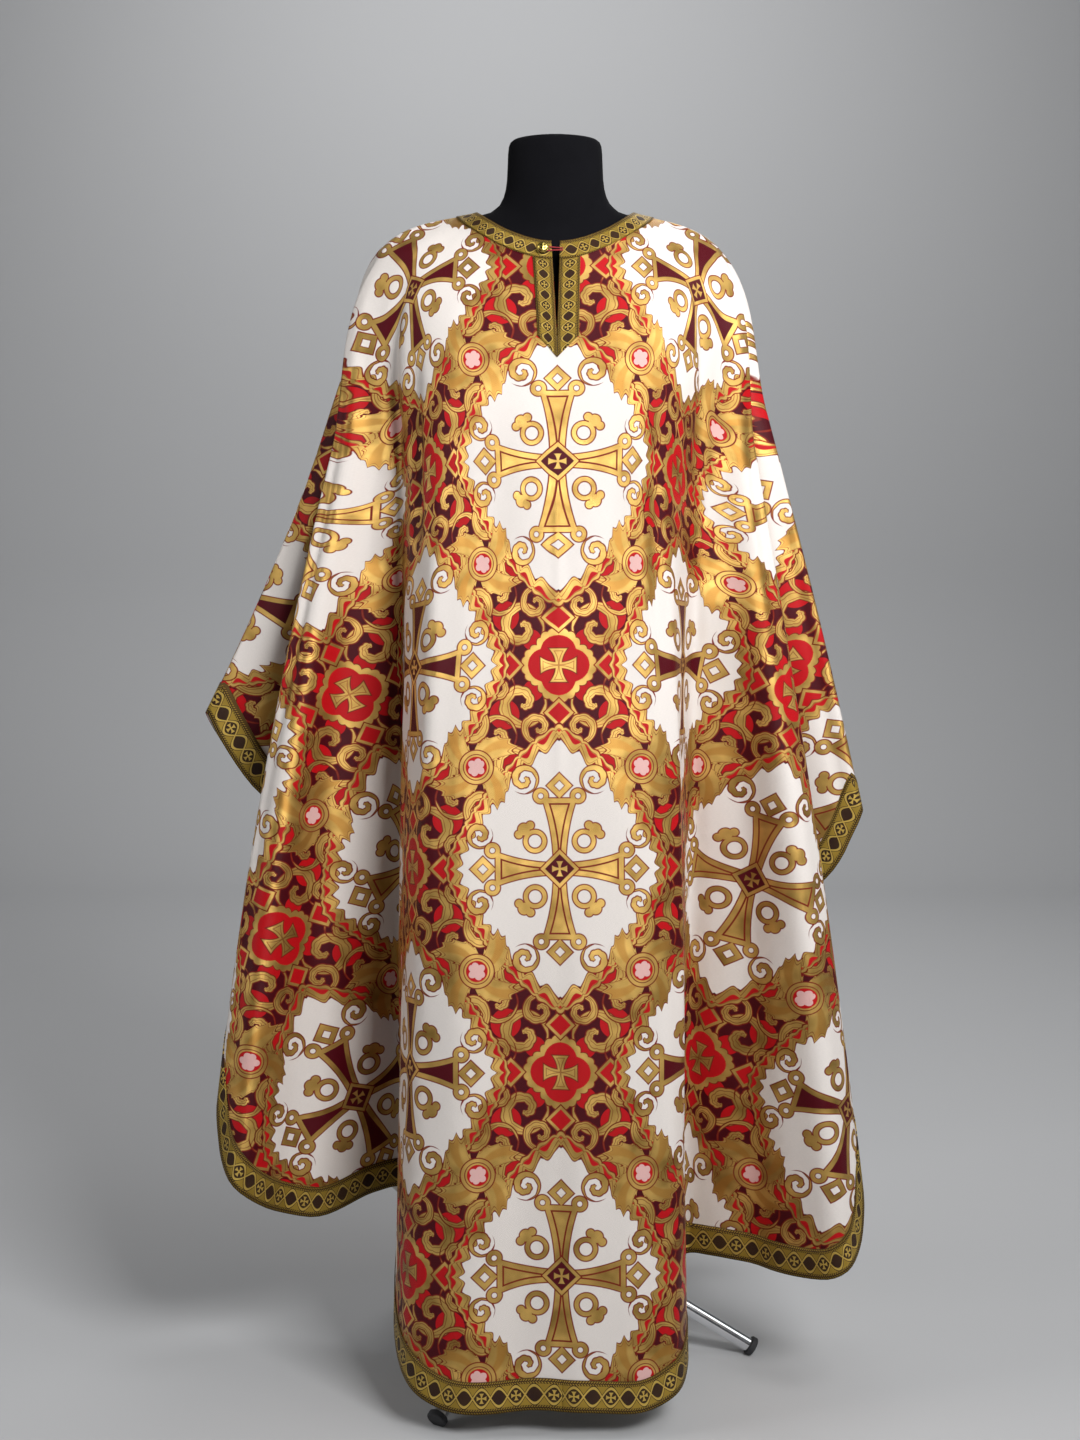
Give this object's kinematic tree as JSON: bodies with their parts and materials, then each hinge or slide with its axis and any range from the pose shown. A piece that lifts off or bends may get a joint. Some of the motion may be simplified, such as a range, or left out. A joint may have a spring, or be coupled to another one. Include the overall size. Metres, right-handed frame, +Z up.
{
  "type": "phelonion on a dress form",
  "caption": "Priest's bell-shaped brocade vestment with gold galloon, short front slit and draped sides, worn on a limbless dress form with a tripod stand.",
  "frame": {"origin": "on the floor, in the middle of the bounding box", "axes": "+Z up, the wearer's front towards -Y, +X to the wearer's left"},
  "size_m": [0.9012, 0.561, 1.655],
  "materials": {
    "brocade": "figured satin brocade, white, wine, scarlet and gold",
    "galloon": "woven metallic gold band",
    "gilt": "gilt",
    "cord": "red cord",
    "form_cloth": "matt black jersey",
    "chrome": "polished",
    "rubber": "matt"
  },
  "bodies": {
    "root": {"front": "brocade", "back": "brocade", "neck_band": "galloon", "placket_left": "galloon", "placket_right": "galloon", "hem_band": "galloon", "button": "gilt", "button_loop": "cord", "form_body": "form_cloth", "stand_pole": "chrome", "stand_hub": "chrome", "leg_1": "chrome", "leg_2": "chrome", "leg_3": "chrome", "foot_1": "rubber", "foot_2": "rubber", "foot_3": "rubber"}
  },
  "joints": []
}
